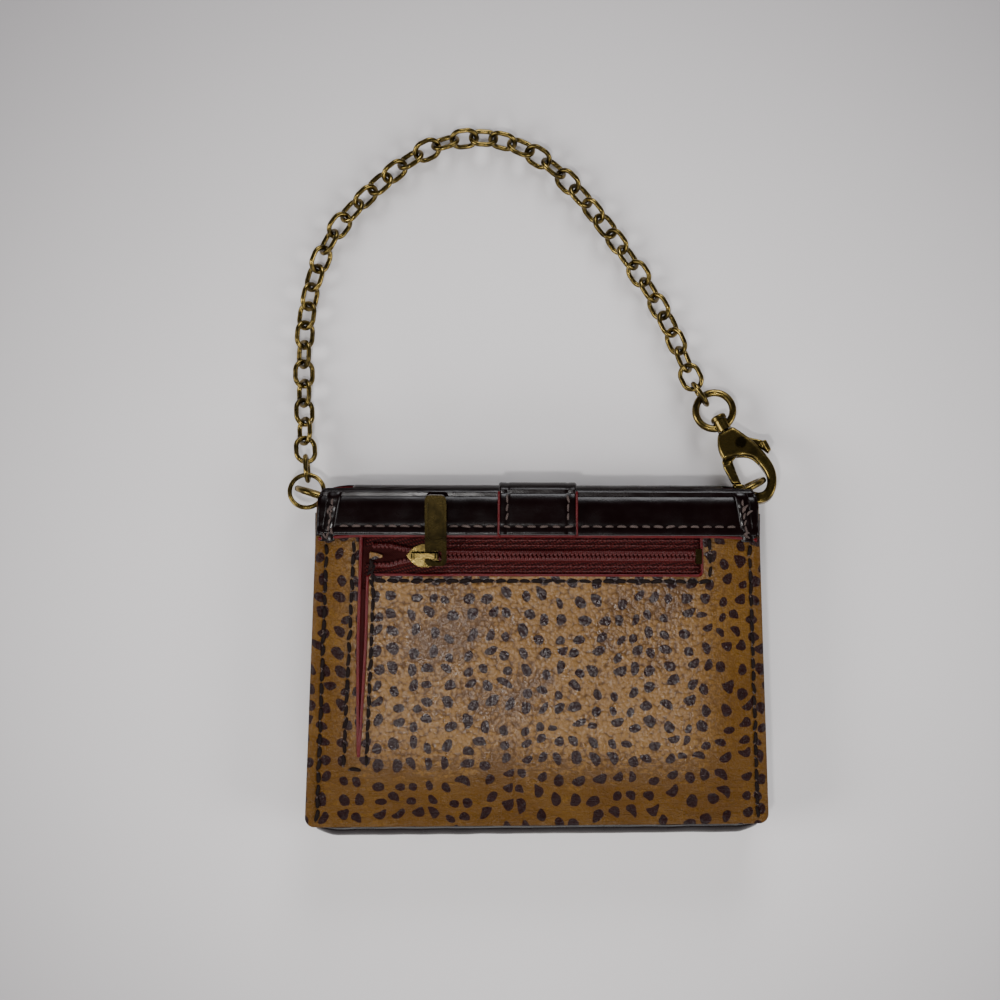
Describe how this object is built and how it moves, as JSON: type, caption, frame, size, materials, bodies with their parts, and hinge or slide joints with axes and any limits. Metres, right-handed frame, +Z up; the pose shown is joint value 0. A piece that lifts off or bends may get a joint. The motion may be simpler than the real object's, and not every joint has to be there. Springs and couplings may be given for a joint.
{
  "type": "wallet",
  "caption": "Leather flap wallet with a zipped back pocket, an interior with card slots, and a chain wrist strap on a swivel lobster clasp.",
  "frame": {"origin": "middle of the underside, where the wallet rests on its closed flap", "axes": "X across the wallet, Y up to its top fold, Z up through its back"},
  "size_m": [0.1394, 0.1992, 0.0244],
  "materials": {
    "tan_leather": "satin",
    "oxblood_leather": "satin",
    "lining_cloth": "matte",
    "zip_tape": "matte",
    "zip_coil": "satin",
    "antique_brass": "satin",
    "spring_steel": "satin",
    "snap_steel": "satin",
    "dark_thread": "matte",
    "light_thread": "matte"
  },
  "bodies": {
    "root": {"back_panel": "tan_leather", "front_lower_panel": "tan_leather", "gusset_left": "tan_leather", "gusset_right": "tan_leather", "gusset_bottom": "tan_leather", "front_panel": "tan_leather", "dring_tab_left": "tan_leather", "dring_tab_right": "tan_leather", "flap_back_strip": "oxblood_leather", "closure_strap_back": "oxblood_leather", "card_slot_1": "oxblood_leather", "card_slot_2": "oxblood_leather", "card_slot_3": "oxblood_leather", "slit_backing": "oxblood_leather", "divider": "lining_cloth", "zip_pouch": "lining_cloth", "zip_tape_upper": "zip_tape", "zip_tape_lower": "zip_tape", "zip_coil_upper": "zip_coil", "zip_coil_lower": "zip_coil", "zip_end_stop": "antique_brass", "snap_socket": "snap_steel", "panel_stitching": "dark_thread", "strip_stitching": "light_thread"},
    "flap": {"flap_cover": "oxblood_leather", "flap_lining": "lining_cloth", "closure_strap_front": "oxblood_leather", "snap_stud": "snap_steel"},
    "slider": {"zip_slider": "antique_brass"},
    "pull_tab": {"zip_pull_tab": "antique_brass"},
    "dring_left": {"dring_left": "antique_brass"},
    "dring_right": {"dring_right": "antique_brass"},
    "jump_ring": {"jump_ring": "antique_brass"},
    "clasp": {"clasp_body": "antique_brass", "swivel_pin": "antique_brass", "clasp_rivet": "antique_brass", "clasp_spring": "spring_steel"},
    "gate": {"clasp_gate": "antique_brass"},
    "eye": {"swivel_eye": "antique_brass"},
    "chain_01": {"chain_01": "antique_brass"},
    "chain_02": {"chain_02": "antique_brass"},
    "chain_03": {"chain_03": "antique_brass"},
    "chain_04": {"chain_04": "antique_brass"},
    "chain_05": {"chain_05": "antique_brass"},
    "chain_06": {"chain_06": "antique_brass"},
    "chain_07": {"chain_07": "antique_brass"},
    "chain_08": {"chain_08": "antique_brass", "chain_09": "antique_brass"},
    "chain_10": {"chain_10": "antique_brass"},
    "chain_11": {"chain_11": "antique_brass"},
    "chain_12": {"chain_12": "antique_brass"},
    "chain_13": {"chain_13": "antique_brass"},
    "chain_14": {"chain_14": "antique_brass"}
  },
  "joints": [
    {"name": "flap_open", "type": "hinge", "parent": "root", "child": "flap", "pos_m": [0, 0.0472, 0.0019], "axis": [1, 0, 0], "range_deg": [0, 120]},
    {"name": "zip_slide", "type": "slide", "parent": "root", "child": "slider", "axis": [1, 0, 0], "range_m": [-0.008, 0.07], "deforming": ["zip_coil_upper", "zip_coil_lower"]},
    {"name": "tab_swing", "type": "hinge", "parent": "slider", "child": "pull_tab", "pos_m": [-0.0284, 0.0281, 0.0203], "axis": [0, 0, 1], "range_deg": [-170, 8]},
    {"name": "dring_left_swing", "type": "hinge", "parent": "root", "child": "dring_left", "pos_m": [-0.05797, 0.0436, 0.0101], "axis": [0, 0, 1], "range_deg": [-6, 6]},
    {"name": "dring_right_swing", "type": "hinge", "parent": "root", "child": "dring_right", "pos_m": [0.05474, 0.04482, 0.0101], "axis": [0, 0, 1], "range_deg": [-2, 6]},
    {"name": "strap_lift", "type": "hinge", "parent": "root", "child": "jump_ring", "pos_m": [0, 0.048, 0.0101], "axis": [1, 0, 0], "range_deg": [0, 45]},
    {"name": "clasp_lift", "type": "hinge", "parent": "root", "child": "clasp", "pos_m": [0, 0.048, 0.0101], "axis": [1, 0, 0], "range_deg": [0, 45]},
    {"name": "strap_sway", "type": "hinge", "parent": "jump_ring", "child": "chain_01", "pos_m": [-0.06557, 0.04998, 0.003], "axis": [0, 0, 1], "range_deg": [-9.07, 9.07]},
    {"name": "chain_02_sway", "type": "hinge", "parent": "chain_01", "child": "chain_02", "pos_m": [-0.06689, 0.0661, 0.003], "axis": [0, 0, 1], "range_deg": [-2.24, 2.24]},
    {"name": "chain_03_sway", "type": "hinge", "parent": "chain_02", "child": "chain_03", "pos_m": [-0.06728, 0.08278, 0.003], "axis": [0, 0, 1], "range_deg": [-3.52, 3.52]},
    {"name": "chain_04_sway", "type": "hinge", "parent": "chain_03", "child": "chain_04", "pos_m": [-0.06602, 0.09951, 0.003], "axis": [0, 0, 1], "range_deg": [-6.03, 6.03]},
    {"name": "chain_05_sway", "type": "hinge", "parent": "chain_04", "child": "chain_05", "pos_m": [-0.06128, 0.11556, 0.003], "axis": [0, 0, 1], "range_deg": [-4.58, 4.58]},
    {"name": "chain_06_sway", "type": "hinge", "parent": "chain_05", "child": "chain_06", "pos_m": [-0.05156, 0.12913, 0.003], "axis": [0, 0, 1], "range_deg": [-0.75, 0.75]},
    {"name": "chain_07_sway", "type": "hinge", "parent": "chain_06", "child": "chain_07", "pos_m": [-0.03894, 0.1402, 0.003], "axis": [0, 0, 1], "range_deg": [-0.79, 0.79]},
    {"name": "chain_08_sway", "type": "hinge", "parent": "chain_07", "child": "chain_08", "pos_m": [-0.02393, 0.1474, 0.003], "axis": [0, 0, 1], "range_deg": [-0.84, 0.84]},
    {"name": "chain_10_sway", "type": "hinge", "parent": "chain_08", "child": "chain_10", "pos_m": [0.00668, 0.13762, 0.003], "axis": [0, 0, 1], "range_deg": [-1.66, 1.66]},
    {"name": "chain_11_sway", "type": "hinge", "parent": "chain_10", "child": "chain_11", "pos_m": [0.01786, 0.1251, 0.003], "axis": [0, 0, 1], "range_deg": [-3.55, 3.55]},
    {"name": "chain_12_sway", "type": "hinge", "parent": "chain_11", "child": "chain_12", "pos_m": [0.02773, 0.11151, 0.003], "axis": [0, 0, 1], "range_deg": [-5.26, 5.26]},
    {"name": "chain_13_sway", "type": "hinge", "parent": "chain_12", "child": "chain_13", "pos_m": [0.03645, 0.09716, 0.003], "axis": [0, 0, 1], "range_deg": [-5.27, 5.27]},
    {"name": "chain_14_sway", "type": "hinge", "parent": "chain_13", "child": "chain_14", "pos_m": [0.04331, 0.08186, 0.003], "axis": [0, 0, 1], "range_deg": [-2.41, 2.41]},
    {"name": "gate_open", "type": "hinge", "parent": "clasp", "child": "gate", "pos_m": [0.05827, 0.06009, 0.00764], "axis": [-0.1113, 0.1677, 0.9795], "range_deg": [0, 20], "stiffness_Nm_per_rad": 0.002, "springref_deg": -11.46},
    {"name": "swivel_turn", "type": "hinge", "parent": "clasp", "child": "eye", "pos_m": [0.05097, 0.06955, 0.00519], "axis": [-0.4459, 0.8724, -0.2], "range_deg": [-8, 8]}
  ],
  "couplings": [
    {"joint": "clasp_lift", "follows": "strap_lift", "ratio": 1},
    {"joint": "chain_02_sway", "follows": "strap_sway", "ratio": 0.2464},
    {"joint": "chain_03_sway", "follows": "strap_sway", "ratio": -0.3872},
    {"joint": "chain_04_sway", "follows": "strap_sway", "ratio": -0.6643},
    {"joint": "chain_05_sway", "follows": "strap_sway", "ratio": -0.5042},
    {"joint": "chain_06_sway", "follows": "strap_sway", "ratio": -0.0813},
    {"joint": "chain_07_sway", "follows": "strap_sway", "ratio": 0.0865},
    {"joint": "chain_08_sway", "follows": "strap_sway", "ratio": -0.0916},
    {"joint": "chain_10_sway", "follows": "strap_sway", "ratio": 0.1822},
    {"joint": "chain_11_sway", "follows": "strap_sway", "ratio": 0.3901},
    {"joint": "chain_12_sway", "follows": "strap_sway", "ratio": 0.5792},
    {"joint": "chain_13_sway", "follows": "strap_sway", "ratio": 0.5799},
    {"joint": "chain_14_sway", "follows": "strap_sway", "ratio": 0.2648}
  ]
}
